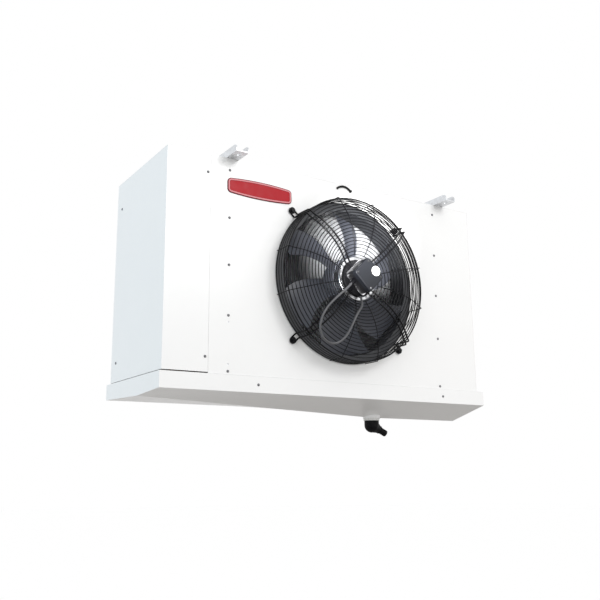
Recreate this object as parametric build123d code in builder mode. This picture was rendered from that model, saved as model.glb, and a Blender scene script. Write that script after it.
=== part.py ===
"""Ceiling-hung unit cooler for a walk-in cold room: one axial fan, finned coil, drop-down drain pan.

Millimetres. The origin is the centre of the four hanger holes, on the upper face of the rail webs.
X runs along the casing, +Y from the fan to the rear air inlet, +Z up.
"""
import os
from math import cos, hypot, pi, radians, sin, sqrt, tan

from build123d import *

os.makedirs("parts", exist_ok=True)

# Clearances
SEAT = 0.2              # between sheets that lie on each other
RUN_GAP = 0.05          # radial, shaft in bearing and spigot in elbow

# Casing sheets
CASE_D = 382.0
CASE_H = 624.5
SHEET = 1.2
LIP = 22.0              # width of folded edges
FAN_FROM_LEFT = 596.0   # fan axis from the casing's left side
FAN_TO_PLATE = 379.0    # right end plate from the fan axis
RIGHT_BAY = 149.0       # right end plate from the casing's right side
FAN_DOWN = 318.0        # fan axis below the casing's top
SEAM = 133.0            # width of the left end cover's front leg
SEAM_GAP = 0.6
COVER_LIFT = 3.0        # slot under the left end cover

# Hanging rails
RAIL_T = 2.5
RAIL_W = 40.0
RAIL_H = 22.0
RAIL_REACH = 62.0       # how far a rail stands out past the casing, front and rear
RAIL_OFFSET = 395.0     # rail centre from the fan axis
RAIL_END_R = 14.0
HANG_HOLE_R = 6.0
HANG_EDGE = 25.0        # hole centre from the rail's end
RAIL_BOLT_IN = 70.0     # rail bolt centre from the casing's front or rear

# Coil
END_PLATE_T = 1.5
END_PLATE_IN = 180.0    # left end plate from the casing's left side
END_FLANGE = 26.0
TUBE_PITCH = 50.0
TUBE_ROWS = 3
TUBES_HIGH = 12
TUBE_R = 8.0
COIL_REAR_GAP = 20.0
COIL_TOP_GAP = 10.0
FIN_PITCH = 8.0
FIN_T = 0.6
FIN_SPINE = 10.0        # web in mid depth that joins the fins, in place of the tubes
BEND_OUT = 14.0         # straight length before a return bend
RAIL_DEEP = 30.0        # rear bottom rail, front to back

# Fan opening and bellmouth
THROAT_R = 226.0
RING_T = 2.5
RING_LIP = 12.0
RING_DEPTH = 66.0
RING_FLARE_R = 10.0
PLATE_HOLE_CLEAR = 1.0

# Rotor and blades
ROTOR_R = 68.0
ROTOR_WALL = 10.0       # with its magnets
ROTOR_FRONT = 59.0      # in front of the fan plate
ROTOR_BACK = 28.0       # behind it
ROTOR_ROUND = 3.0
SLEEVE_T = 2.5
SLEEVE_BACK = 24.0      # behind the fan plate
BLADE_COUNT = 6
BLADE_TIP_GAP = 5.0
BLADE_T = 3.0
BLADE_EDGE = 1.2        # blade thickness at its edges
BLADE_MID = 8.0         # middle of the blades behind the fan plate's front
LIP_BACK = 30.0         # rotor left bare in front of the sleeve
ROOT_R = 58.0           # blade root inside the rotor, trimmed to it
ROOT_CHORD = 74.0
MID_CHORD = 112.0
TIP_CHORD = 170.0
ROOT_PITCH = 40.0       # degrees out of the fan's plane
MID_PITCH = 30.0
TIP_PITCH = 23.0
MID_SWEEP = 8.0
TIP_SWEEP = 62.0
MID_R = 145.0
BLADE_PHASE = 18.0
CHORD_BY_CAMBER = 11.0
TIP_TRIM = 3.0          # blade made this much too long, then trimmed
SHAFT_R = 6.0

# Motor, in millimetres in front of the fan plate
STATOR_GAP = 4.0
STATOR_LOW = 2.0        # stator's face inside the rotor's rim
FLANGE_R = 53.0
FLANGE_FRONT = 65.0
BOSS_R = 36.0
BOSS_FRONT = 77.0
PLATE_T = 2.5
PLATE_OVER = 3.0
BOX_A = 72.0            # terminal box, along its rising diagonal
BOX_B = 80.0            # and along its falling diagonal
BOX_DEEP = 24.0
LID_DEEP = 16.0
BOX_WALL = 2.5
BOX_CORNER = 9.0
LID_ROUND = 3.0
LID_SCREW_R = 3.4
LID_SCREW_T = 1.0
CAP_R = 15.0
CAP_T = 1.2
CAP_UP = 25.0           # white cap from the box's middle, along its two diagonals
CAP_ALONG = 7.0
GLAND_R = 9.0
GLAND_LONG = 16.0
GLAND_HEX_LONG = 6.5
GLAND_NECK_R = 7.2
GLAND_ROUND = 2.0
GLAND_ALONG = 14.0
GLAND_BACK = 12.0       # gland axis behind the box's front seam

# Guard
GUARD_R = 250.0
RIM_DEPTH = 57.0
DISH_DEPTH = 89.0
DISH_R = 152.0
RING_FIRST_R = 72.0
RING_COUNT = 19
SIDE_RINGS = 4
SIDE_STEP = 13.0
WIRE = 2.6
RIM_WIRE = 4.6
ARM_WIRE = 5.0
ARM_SPREAD = 8.0
FOOT_R = 277.0
GUARD_BOLT_R = 3.0
CLAMP_R = 46.0
CLAMP_HEAD_R = 5.5
CLAMP_HEAD_T = 4.0
WASHER_R = 10.0
CLAMP_WASHER_R = 8.0
WASHER_T = 2.0
GUARD_NUT_R = 7.0
GUARD_NUT_T = 5.0
WIRE_SEAT = 0.6         # cross wires in front of the rings
ARM_SEAT = 1.0          # arms in front of the rings, beyond that
WIRE_SPOTS = 12
RIM_ROUND = 3.0         # bend of the cross wires at the rim
INNER_SIDES = 24
OUTER_SIDES = 48
WIRE_ANGLES = [15.0, 75.0, 105.0, 165.0, 195.0, 255.0, 285.0, 345.0]
ARM_ANGLES = [45.0, 135.0, 225.0, 315.0]

# Drain pan
PAN_LIP = 45.0
PAN_T = 1.5
PAN_GAP = 0.5
PAN_OVER_LEFT = 6.0
PAN_OVER_RIGHT = 27.0
PAN_OVER_FRONT = 2.0
PAN_OVER_REAR = 16.0
PAN_LOW_Y = 150.0       # low line behind the casing's front
PAN_DROP_LEFT = 8.0
PAN_DROP = 42.0
DRAIN_X = 200.0
SUMP_R = 28.0
SUMP_DEEP = 3.0
SPIGOT_R = 16.0
SPIGOT_WALL = 2.5
SPIGOT_LONG = 26.0
NUT_R = 25.5
NUT_T = 6.5
ELBOW_R = 23.5
ELBOW_TURN = 65.0
ELBOW_WALL = 2.5
OUTLET_R = 10.5
OUTLET_COLLAR_R = 13.0
OUTLET_LONG = 26.0
ELBOW_SOCKET = 14.0
TAPER_START = 6.0       # from the middle of the bend
ELBOW_TAPER = 29.0
COLLAR_LONG = 5.0
SWIVEL_GAP = 0.4
SUMP_CLEAR = 4.0
NUT_GRIPS = 12
NUT_GRIP_R = 2.0

# Pan hinge
HINGE_X = 330.0         # half the distance between the two hinges
HINGE_R = 6.0
HINGE_PIN_R = 2.5
HINGE_BARREL = 22.0
HINGE_T = 2.0
HINGE_BACK = 9.0        # hinge axis behind the pan's rear lip
HINGE_RAISE = 2.0       # hinge leg above the casing's lower edge
HINGE_SIDE_GAP = 0.5
EAR_T = 3.0
EAR_FOOT_T = 2.0
EAR_FOOT = 16.0
CLIP_GAP = 4.0          # pan lip to clip, so that the lip swings clear
CLIP_T = 2.0
CLIP_W = 30.0
CLIP_BELOW = 6.0        # clip below the middle of its screw

# Pipes in the left end
SUCTION_R = 14.0
HEADER_R = 17.0         # suction pipe inside the end cover
LIQUID_R = 8.0
LIQUID_PIPE_R = 7.0     # liquid pipe inside the end cover
STUB_LONG = 60.0        # outside the rear of the end cover
STUB_STEP = 2.0         # the inner pipes reach this far out of the cover
STUB_BORE = 50.0
STUB_IN = 60.0          # stub centres from the casing's left side
LIQUID_UP = 330.0       # liquid stub above the coil's lower edge
PIPE_CLEAR = 2.0
FEEDER_R = 3.0
DISTRIBUTOR_R = 14.0
DISTRIBUTOR_LONG = 34.0
PIPE_WALL = 1.2
LIQUID_RISE = 34.0
LIQUID_BEND_R = 18.0
FEEDER_BEND_R = 12.0
FEEDER_SEAT = 0.6

# Screws
SCREW_R = 4.0
SCREW_T = 2.4
SHANK_R = 2.0
SHANK_LONG = 8.0
BOLT_HEAD_R = 7.5
BOLT_HEAD_T = 5.0
PANEL_SCREW_Z = [54.0, 209.0, 353.0, 491.0, 634.0]   # above the pan lip's lower edge
OPEN_HOLE_Z = [73.0, 190.0]
OPEN_HOLE_R = 2.6
COVER_SCREW_Z = [90.0, 615.0]
COVER_SCREW_IN = 124.0                               # from the casing's left side
SIDE_SCREW_Z = [105.0, 583.0]
SIDE_SCREW_Y = 152.0
LIP_SCREW_LEFT = 288.0                               # from the casing's left side
LIP_SCREW_RIGHT = 153.0                              # from its right side
LIP_SCREW_UP = 22.0

# Curved cable slot above the fan, closed by a rubber trim
SLOT_R = 36.0           # middle of the slot, about its own centre
SLOT_W = 2.0
SLOT_X = -2.0
SLOT_UP = 274.0         # slot's centre above the fan axis
SLOT_HALF_ANGLE = 46.0
TRIM_W = 6.5
TRIM_OUT = 3.0
TRIM_KNOB_R = 4.0

# Motor cable: a loop from the box's gland to the outlet under the motor's front boss
CABLE_R = 3.5
CABLE_END_GAP = 0.8     # from the gland and the outlet
BEND_SHARE = 0.45       # of the shorter run beside a bend
OUTLET_RADIUS = 5.0
OUTLET_TILT = 35.0
OUTLET_DEPTH = 71.0     # middle of its mouth
OUTLET_DOWN = 58.0      # middle of its mouth from the fan axis

# Places worked out from the sizes above
LEFT = -FAN_FROM_LEFT
RIGHT = FAN_TO_PLATE + RIGHT_BAY
FRONT = -CASE_D / 2
BACK = CASE_D / 2
TOP = -RAIL_T
BOTTOM = TOP - CASE_H
FAN_Z = TOP - FAN_DOWN
SEAM_X = LEFT + SEAM
PAN_TOP = BOTTOM - PAN_GAP
PAN_EDGE = PAN_TOP - PAN_LIP
PAN_X0 = LEFT - PAN_OVER_LEFT
PAN_X1 = RIGHT + PAN_OVER_RIGHT
PAN_Y0 = FRONT - PAN_OVER_FRONT
PAN_Y1 = BACK + PAN_OVER_REAR
LOW_Y = FRONT + PAN_LOW_Y
LOW_Z = PAN_EDGE - PAN_DROP
PLATE_LEFT = LEFT + END_PLATE_IN
PLATE_RIGHT = FAN_TO_PLATE
COIL_Y1 = BACK - COIL_REAR_GAP
COIL_Y0 = COIL_Y1 - TUBE_ROWS * TUBE_PITCH
COIL_MID_Y = (COIL_Y0 + COIL_Y1) / 2
COIL_Z1 = TOP - SHEET - COIL_TOP_GAP
COIL_Z0 = COIL_Z1 - TUBES_HIGH * TUBE_PITCH
RAIL_Y = CASE_D / 2 + RAIL_REACH
HANG_Y = RAIL_Y - HANG_EDGE
FRAME_IN = FRONT + SHEET + SEAT
TIP_R = THROAT_R - BLADE_TIP_GAP
SCREW_LEFT_X = PLATE_LEFT + END_FLANGE / 2
SCREW_RIGHT_X = PLATE_RIGHT - END_FLANGE / 2
STUB_X = LEFT + STUB_IN
STUB_START = BACK + STUB_STEP
STUB_END = BACK + STUB_LONG
LIP_SCREW_X = [LEFT + LIP_SCREW_LEFT, RIGHT - LIP_SCREW_RIGHT]
SUCTION_Z = COIL_Z0 + TUBE_PITCH / 2
LIQUID_Z = COIL_Z0 + LIQUID_UP
COVER_SCREW_X = LEFT + COVER_SCREW_IN
HINGE_Y = PAN_Y1 + HINGE_BACK
HINGE_Z = PAN_TOP - HINGE_R
SUMP_Z = LOW_Z - SUMP_DEEP


def facing(depth):
    """Plane seen from the fan side, depth millimetres in front of the fan plate."""
    return Plane.XZ.offset(-FRONT + depth)


def fan_facing(depth):
    """The same plane with its origin on the fan's axis."""
    return Plane(origin=(0, FRONT - depth, FAN_Z), x_dir=(1, 0, 0), z_dir=(0, -1, 0))


def box_facing(depth):
    """Plane of the terminal box, turned 45 degrees about the fan's axis."""
    return Plane(origin=(0, FRONT - depth, FAN_Z), x_dir=(1, 0, 1), z_dir=(0, -1, 0))


def level(z):
    return Plane.XY.offset(z)


def upright(x):
    return Plane.YZ.offset(x)


def span(x0, x1, y0, y1, mode=Mode.ADD):
    """A rectangle given by its edges, in the sketch under way."""
    with Locations(((x0 + x1) / 2, (y0 + y1) / 2)):
        Rectangle(abs(x1 - x0), abs(y1 - y0), mode=mode)


def slab(x0, x1, y0, y1, z0, z1, mode=Mode.ADD):
    """A plate given by its edges, in the part under way."""
    with Locations(((x0 + x1) / 2, (y0 + y1) / 2, (z0 + z1) / 2)):
        Box(abs(x1 - x0), abs(y1 - y0), abs(z1 - z0), mode=mode)


def slot_band(depth, width):
    """Curved band that follows the cable slot."""
    first = 90 - SLOT_HALF_ANGLE
    with BuildSketch(fan_facing(depth)) as band:
        with BuildLine():
            over = CenterArc((SLOT_X, SLOT_UP), SLOT_R + width / 2, first, 2 * SLOT_HALF_ANGLE)
            under = CenterArc((SLOT_X, SLOT_UP), SLOT_R - width / 2, first, 2 * SLOT_HALF_ANGLE)
            Line(over @ 0, under @ 0)
            Line(over @ 1, under @ 1)
        make_face()
    return band.sketch


def save(piece, name):
    piece.part.label = name
    export_step(piece.part, f"parts/{name}.step")


# Casing sheets
with BuildPart() as top_panel:
    slab(LEFT, RIGHT, FRONT, BACK, TOP - SHEET, TOP)
    slab(LEFT + SHEET + SEAT, RIGHT - SHEET - SEAT, BACK - SHEET, BACK, TOP - LIP, TOP)
    with BuildSketch(level(TOP)):
        with GridLocations(2 * RAIL_OFFSET, CASE_D - 2 * RAIL_BOLT_IN, 2, 2):
            Circle(SCREW_R)
    extrude(amount=-SHEET, mode=Mode.SUBTRACT)
save(top_panel, "top_panel")

UNDER_TOP = TOP - SHEET - SEAT
PLATE_X0 = SEAM_X + SEAM_GAP
PLATE_X1 = RIGHT - SHEET - SEAT
PLATE_HOLE_R = THROAT_R + RING_T + RING_FLARE_R + PLATE_HOLE_CLEAR

with BuildPart() as fan_plate:
    slab(PLATE_X0, PLATE_X1, FRONT, FRONT + SHEET, BOTTOM, UNDER_TOP)
    slab(PLATE_X0, PLATE_X1, FRONT, FRONT + LIP, UNDER_TOP - SHEET, UNDER_TOP)
    slab(PLATE_X0, PLATE_X1, FRONT, FRONT + LIP, BOTTOM, BOTTOM + SHEET)
    # joggled left edge that the end cover is screwed to
    slab(PLATE_X0, PLATE_X0 + SHEET, FRONT, FRAME_IN + SHEET, BOTTOM + LIP, UNDER_TOP - LIP)
    slab(SEAM_X - LIP, PLATE_X0 + SHEET, FRAME_IN, FRAME_IN + SHEET, BOTTOM + LIP, UNDER_TOP - LIP)
    with BuildSketch(fan_facing(0)):
        Circle(PLATE_HOLE_R)
        with PolarLocations(FOOT_R, 4, start_angle=45):
            Circle(GUARD_BOLT_R + SEAT)
        for z in OPEN_HOLE_Z:
            with Locations((SCREW_LEFT_X, PAN_EDGE + z - FAN_Z)):
                Circle(OPEN_HOLE_R)
        for z in PANEL_SCREW_Z:
            with Locations((SCREW_LEFT_X, PAN_EDGE + z - FAN_Z), (SCREW_RIGHT_X, PAN_EDGE + z - FAN_Z)):
                Circle(SHANK_R + SEAT)
    extrude(amount=-SHEET, mode=Mode.SUBTRACT)
    with BuildSketch(facing(0)):
        for z in COVER_SCREW_Z:
            with Locations((COVER_SCREW_X, PAN_EDGE + z)):
                Circle(SHANK_R + SEAT)
    extrude(amount=-LIP, mode=Mode.SUBTRACT)
    extrude(slot_band(0, SLOT_W + 2 * SEAT), amount=-SHEET, mode=Mode.SUBTRACT)
save(fan_plate, "fan_plate")

COVER_Z0 = BOTTOM + COVER_LIFT
REAR_TOP = TOP - LIP - SEAT

with BuildPart() as left_end_cover:
    slab(LEFT, SEAM_X, FRONT, FRONT + SHEET, COVER_Z0, UNDER_TOP)
    slab(LEFT, LEFT + SHEET, FRONT, BACK, COVER_Z0, UNDER_TOP)
    slab(LEFT, PLATE_LEFT - SEAT, BACK - SHEET, BACK, COVER_Z0, REAR_TOP)
    slab(LEFT, LEFT + LIP, FRONT, BACK - 2 * SHEET, UNDER_TOP - SHEET, UNDER_TOP)
    slab(LEFT, LEFT + LIP, FRONT, BACK, COVER_Z0, COVER_Z0 + SHEET)
    with BuildSketch(facing(-CASE_D)):
        with Locations((STUB_X, SUCTION_Z)):
            Circle(HEADER_R + PIPE_CLEAR)
        with Locations((STUB_X, LIQUID_Z)):
            Circle(LIQUID_PIPE_R + PIPE_CLEAR)
    extrude(amount=SHEET, mode=Mode.SUBTRACT)
    with BuildSketch(facing(0)):
        for z in COVER_SCREW_Z:
            with Locations((COVER_SCREW_X, PAN_EDGE + z)):
                Circle(SHANK_R + SEAT)
    extrude(amount=-SHEET, mode=Mode.SUBTRACT)
    with BuildSketch(upright(LEFT)):
        for z in SIDE_SCREW_Z:
            with Locations((SIDE_SCREW_Y, PAN_EDGE + z)):
                Circle(SHANK_R + SEAT)
    extrude(amount=SHEET, mode=Mode.SUBTRACT)
save(left_end_cover, "left_end_cover")

with BuildPart() as right_end_cover:
    slab(RIGHT - SHEET, RIGHT, FRONT, BACK, BOTTOM, UNDER_TOP)
    slab(RIGHT - LIP, RIGHT, FRAME_IN, FRAME_IN + SHEET, BOTTOM + LIP, UNDER_TOP - LIP)
    slab(PLATE_RIGHT + SEAT, RIGHT, BACK - SHEET, BACK, BOTTOM, REAR_TOP)
    slab(RIGHT - LIP, RIGHT, FRONT + LIP + SEAT, BACK - 2 * SHEET, UNDER_TOP - SHEET, UNDER_TOP)
    slab(RIGHT - LIP, RIGHT, FRONT + LIP + SEAT, BACK, BOTTOM, BOTTOM + SHEET)
save(right_end_cover, "right_end_cover")

# Coil and its end plates
PLATE_Z0 = BOTTOM + SHEET + SEAT
PLATE_Z1 = UNDER_TOP
for name, x0, inward in (("end_plate_left", PLATE_LEFT, 1), ("end_plate_right", PLATE_RIGHT, -1)):
    x1 = x0 + inward * END_PLATE_T
    x2 = x0 + inward * END_FLANGE
    with BuildPart() as end_plate:
        slab(x0, x1, FRAME_IN, BACK - SHEET - SEAT, PLATE_Z0, PLATE_Z1 - SHEET - SEAT)
        slab(x0, x2, FRAME_IN, FRAME_IN + END_PLATE_T, PLATE_Z0, PLATE_Z1 - SHEET - SEAT)
        slab(x0, x1, FRONT + LIP + SEAT, BACK - SHEET - SEAT, PLATE_Z0, PLATE_Z1)
        slab(x0, x2, FRONT + LIP + SEAT, BACK - SHEET - SEAT, PLATE_Z1 - END_PLATE_T, PLATE_Z1)
        with BuildSketch(facing(0)):
            for z in PANEL_SCREW_Z:
                with Locations((x0 + inward * END_FLANGE / 2, PAN_EDGE + z)):
                    Circle(SHANK_R + SEAT)
        extrude(amount=-LIP, mode=Mode.SUBTRACT)
    save(end_plate, name)

FIN_X0 = PLATE_LEFT + END_PLATE_T + SEAT
FIN_X1 = PLATE_RIGHT - END_PLATE_T - SEAT
FIN_COUNT = int((FIN_X1 - FIN_X0 - FIN_T) / FIN_PITCH)
with BuildPart() as coil_fins:
    with BuildSketch(level(COIL_Z0)):
        with Locations(((FIN_X0 + FIN_X1) / 2, COIL_MID_Y)):
            Rectangle(FIN_X1 - FIN_X0, FIN_SPINE)
            with GridLocations(FIN_PITCH, 0, FIN_COUNT, 1):
                Rectangle(FIN_T, COIL_Y1 - COIL_Y0)
    extrude(amount=COIL_Z1 - COIL_Z0 - END_PLATE_T)
save(coil_fins, "coil_fins")


def tube_place(row, high):
    """Centre of a coil tube, seen on an end plate."""
    y = COIL_Y0 + (row + 0.5) * TUBE_PITCH
    return y, COIL_Z0 + (high + 0.5) * TUBE_PITCH


def return_bends(face_x, outward, first):
    """U bends between tubes of one row, on one end plate."""
    with BuildPart() as bends:
        for row in range(TUBE_ROWS):
            for high in range(first, TUBES_HIGH - 1, 2):
                y, z = tube_place(row, high)
                middle = Plane(origin=(face_x + outward * BEND_OUT, y, z + TUBE_PITCH / 2),
                               x_dir=(0, 0, 1), z_dir=(outward, 0, 0))
                with BuildSketch(middle):
                    with Locations((TUBE_PITCH / 2, 0)):
                        RegularPolygon(TUBE_R, 6)
                turn = Axis(middle.origin, (0, 1, 0))
                revolve(axis=turn, revolution_arc=-180 if outward < 0 else 180)
                with BuildSketch(middle):
                    with Locations((TUBE_PITCH / 2, 0), (-TUBE_PITCH / 2, 0)):
                        RegularPolygon(TUBE_R, 6)
                extrude(amount=-BEND_OUT)
    return bends


save(return_bends(PLATE_LEFT - SEAT, -1, 1), "return_bends_left")
save(return_bends(PLATE_RIGHT + SEAT, 1, 0), "return_bends_right")

# Rear bottom rail under the coil
with BuildPart() as coil_rail:
    y1 = BACK - SHEET - SEAT
    slab(FIN_X0, FIN_X1, y1 - RAIL_DEEP, y1, PLATE_Z0, PLATE_Z0 + SHEET)
    slab(FIN_X0, FIN_X1, y1 - SHEET, y1, PLATE_Z0, PLATE_Z0 + LIP)
    slab(FIN_X0, FIN_X1, y1 - RAIL_DEEP, y1 - RAIL_DEEP + SHEET, PLATE_Z0, COIL_Z0 - SEAT)
save(coil_rail, "coil_rail")

# Hanging rails: open channels across the casing, with rounded flange ends
for name, x in (("hanging_rail_left", -RAIL_OFFSET), ("hanging_rail_right", RAIL_OFFSET)):
    with BuildPart() as rail:
        slab(x - RAIL_W / 2, x + RAIL_W / 2, -RAIL_Y, RAIL_Y, TOP, TOP + RAIL_H)
        corners = rail.edges().filter_by(Axis.X).group_by(Axis.Z)[-1]
        fillet(corners, RAIL_END_R)
        inner = RAIL_W / 2 - RAIL_T
        slab(x - inner, x + inner, -RAIL_Y, RAIL_Y, TOP + RAIL_T, TOP + RAIL_H, mode=Mode.SUBTRACT)
        with BuildSketch(level(TOP)):
            with Locations((x, -HANG_Y), (x, HANG_Y)):
                Circle(HANG_HOLE_R)
            with Locations((x, FRONT + RAIL_BOLT_IN), (x, BACK - RAIL_BOLT_IN)):
                Circle(SCREW_R)
        extrude(amount=RAIL_T, mode=Mode.SUBTRACT)
    save(rail, name)

with BuildPart() as rail_bolts:
    with BuildSketch(level(TOP + RAIL_T)):
        with GridLocations(2 * RAIL_OFFSET, CASE_D - 2 * RAIL_BOLT_IN, 2, 2):
            RegularPolygon(BOLT_HEAD_R, 6)
    extrude(amount=BOLT_HEAD_T)
    with BuildSketch(level(TOP + RAIL_T)):
        with GridLocations(2 * RAIL_OFFSET, CASE_D - 2 * RAIL_BOLT_IN, 2, 2):
            Circle(SCREW_R - SEAT)
    extrude(amount=-RAIL_T - SHEET)
save(rail_bolts, "rail_bolts")

# Bellmouth: flanged throat ring, set in from the front
with BuildPart() as bellmouth:
    with BuildSketch(Plane(origin=(0, FRONT, FAN_Z), x_dir=(1, 0, 0), z_dir=(0, 0, 1))):
        with BuildLine():
            lip_r = PLATE_HOLE_R + RING_LIP
            outer = THROAT_R + RING_T
            end = RING_DEPTH - RING_FLARE_R
            tip = (outer + RING_FLARE_R, RING_DEPTH - RING_T)
            Polyline((THROAT_R, end), (THROAT_R, -RING_T), (lip_r, -RING_T), (lip_r, 0),
                     (outer, 0), (outer, end - RING_T))
            flare = RadiusArc((outer, end - RING_T), tip, RING_FLARE_R)
            Line(tip, (tip[0], RING_DEPTH))
            RadiusArc((tip[0], RING_DEPTH), (THROAT_R, end), -RING_FLARE_R - RING_T)
        make_face()
    revolve(axis=Axis((0, 0, FAN_Z), (0, 1, 0)))
save(bellmouth, "bellmouth")

# Rotor: an outer can that turns round the stator
with BuildPart() as rotor_can:
    with BuildSketch(fan_facing(-ROTOR_BACK)):
        Circle(ROTOR_R)
    extrude(amount=ROTOR_BACK + ROTOR_FRONT)
    fillet(rotor_can.edges().filter_by(GeomType.CIRCLE), ROTOR_ROUND)
    with BuildSketch(fan_facing(-ROTOR_BACK + ROTOR_WALL)):
        Circle(ROTOR_R - ROTOR_WALL)
    extrude(amount=ROTOR_BACK + ROTOR_FRONT, mode=Mode.SUBTRACT)
save(rotor_can, "rotor_can")

STATOR_R = ROTOR_R - ROTOR_WALL - STATOR_GAP
STATOR_BACK = ROTOR_BACK - ROTOR_WALL - STATOR_GAP
with BuildPart() as motor_shaft:
    with BuildSketch(fan_facing(-ROTOR_BACK + ROTOR_WALL)):
        Circle(SHAFT_R)
    extrude(amount=ROTOR_BACK - ROTOR_WALL + ROTOR_FRONT)
save(motor_shaft, "motor_shaft")

with BuildPart() as motor_stator:
    with BuildSketch(fan_facing(-STATOR_BACK)):
        Circle(STATOR_R)
    extrude(amount=STATOR_BACK + ROTOR_FRONT - STATOR_LOW)
    with BuildSketch(fan_facing(ROTOR_FRONT - STATOR_LOW)):
        Circle(FLANGE_R)
    extrude(amount=FLANGE_FRONT - ROTOR_FRONT + STATOR_LOW)
    with BuildSketch(fan_facing(FLANGE_FRONT)):
        Circle(BOSS_R)
    extrude(amount=BOSS_FRONT - FLANGE_FRONT)
    with BuildSketch(fan_facing(-STATOR_BACK)):
        Circle(SHAFT_R + RUN_GAP)
    extrude(amount=STATOR_BACK + ROTOR_FRONT + STATOR_GAP, mode=Mode.SUBTRACT)
save(motor_stator, "motor_stator")

# Sickle blades on a sleeve that is pressed on the rotor
SLEEVE_R = ROTOR_R + SLEEVE_T


def blade_section(radius, sweep, chord, pitch):
    """Curved section of a blade, on a plane square to the blade's length."""
    reach = sqrt(radius ** 2 - sweep ** 2)
    place = Plane(origin=(reach, FRONT + BLADE_MID, FAN_Z + sweep),
                  x_dir=(0, -sin(radians(pitch)), cos(radians(pitch))), z_dir=(1, 0, 0))
    camber = -chord / CHORD_BY_CAMBER
    half = chord / 2
    with BuildSketch(place) as section:
        with BuildLine():
            ThreePointArc((-half, 0), (0, camber), (half, 0))
            Line((half, 0), (half, BLADE_EDGE))
            ThreePointArc((half, BLADE_EDGE), (0, camber + BLADE_T), (-half, BLADE_EDGE))
            Line((-half, BLADE_EDGE), (-half, 0))
        make_face()
    return section.sketch


with BuildPart() as blade:
    root = blade_section(ROOT_R, 0, ROOT_CHORD, ROOT_PITCH)
    middle = blade_section(MID_R, MID_SWEEP, MID_CHORD, MID_PITCH)
    tip = blade_section(TIP_R + TIP_TRIM, TIP_SWEEP, TIP_CHORD, TIP_PITCH)
    loft([root, middle, tip])
    with BuildSketch(fan_facing(-RING_DEPTH)):
        Circle(TIP_R)
    extrude(amount=2 * RING_DEPTH, mode=Mode.INTERSECT)
    with BuildSketch(fan_facing(-RING_DEPTH)):
        Circle(ROTOR_R + SLEEVE_T / 2)
    extrude(amount=2 * RING_DEPTH, mode=Mode.SUBTRACT)

FAN_AXIS = Axis((0, 0, FAN_Z), (0, 1, 0))
with BuildPart() as fan_blades:
    with BuildSketch(fan_facing(-SLEEVE_BACK)):
        Circle(SLEEVE_R)
        Circle(ROTOR_R, mode=Mode.SUBTRACT)
    extrude(amount=SLEEVE_BACK + ROTOR_FRONT - LIP_BACK)
    for count in range(BLADE_COUNT):
        add(blade.part.rotate(FAN_AXIS, -BLADE_PHASE - 360 * count / BLADE_COUNT))
save(fan_blades, "fan_blades")

# Mounting plate and terminal box in front of the motor
with BuildPart() as motor_plate:
    with BuildSketch(box_facing(BOSS_FRONT)):
        RectangleRounded(BOX_A + 2 * PLATE_OVER, BOX_B + 2 * PLATE_OVER, BOX_CORNER)
    extrude(amount=PLATE_T)
save(motor_plate, "motor_plate")

BOX_BACK = BOSS_FRONT + PLATE_T
BOX_SEAM = BOX_BACK + BOX_DEEP
BOX_FRONT = BOX_SEAM + LID_DEEP
with BuildPart() as terminal_box:
    with BuildSketch(box_facing(BOX_BACK)):
        RectangleRounded(BOX_A, BOX_B, BOX_CORNER)
    extrude(amount=BOX_DEEP)
    with BuildSketch(box_facing(BOX_BACK + BOX_WALL)):
        RectangleRounded(BOX_A - 2 * BOX_WALL, BOX_B - 2 * BOX_WALL, BOX_CORNER - BOX_WALL)
        with GridLocations(BOX_A - 2 * BOX_CORNER, BOX_B - 2 * BOX_CORNER, 2, 2):
            Circle(BOX_CORNER - BOX_WALL, mode=Mode.SUBTRACT)
    extrude(amount=BOX_DEEP, mode=Mode.SUBTRACT)
save(terminal_box, "terminal_box")

with BuildPart() as box_lid:
    with BuildSketch(box_facing(BOX_SEAM)):
        RectangleRounded(BOX_A, BOX_B, BOX_CORNER)
    extrude(amount=LID_DEEP)
    fillet(box_lid.faces().sort_by(Axis.Y)[0].edges(), LID_ROUND)
    with BuildSketch(box_facing(BOX_SEAM)):
        RectangleRounded(BOX_A - 2 * BOX_WALL, BOX_B - 2 * BOX_WALL, BOX_CORNER - BOX_WALL)
        with GridLocations(BOX_A - 2 * BOX_CORNER, BOX_B - 2 * BOX_CORNER, 2, 2):
            Circle(BOX_CORNER - BOX_WALL, mode=Mode.SUBTRACT)
    extrude(amount=LID_DEEP - BOX_WALL, mode=Mode.SUBTRACT)
save(box_lid, "box_lid")

with BuildPart() as lid_cap:
    with BuildSketch(box_facing(BOX_FRONT)):
        with Locations((CAP_UP, -CAP_ALONG)):
            Circle(CAP_R)
    extrude(amount=CAP_T)
save(lid_cap, "lid_cap")

with BuildPart() as lid_screws:
    with BuildSketch(box_facing(BOX_FRONT)):
        with GridLocations(BOX_A - 2 * BOX_CORNER, BOX_B - 2 * BOX_CORNER, 2, 2):
            Circle(LID_SCREW_R)
    extrude(amount=LID_SCREW_T)
save(lid_screws, "lid_screws")

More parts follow.
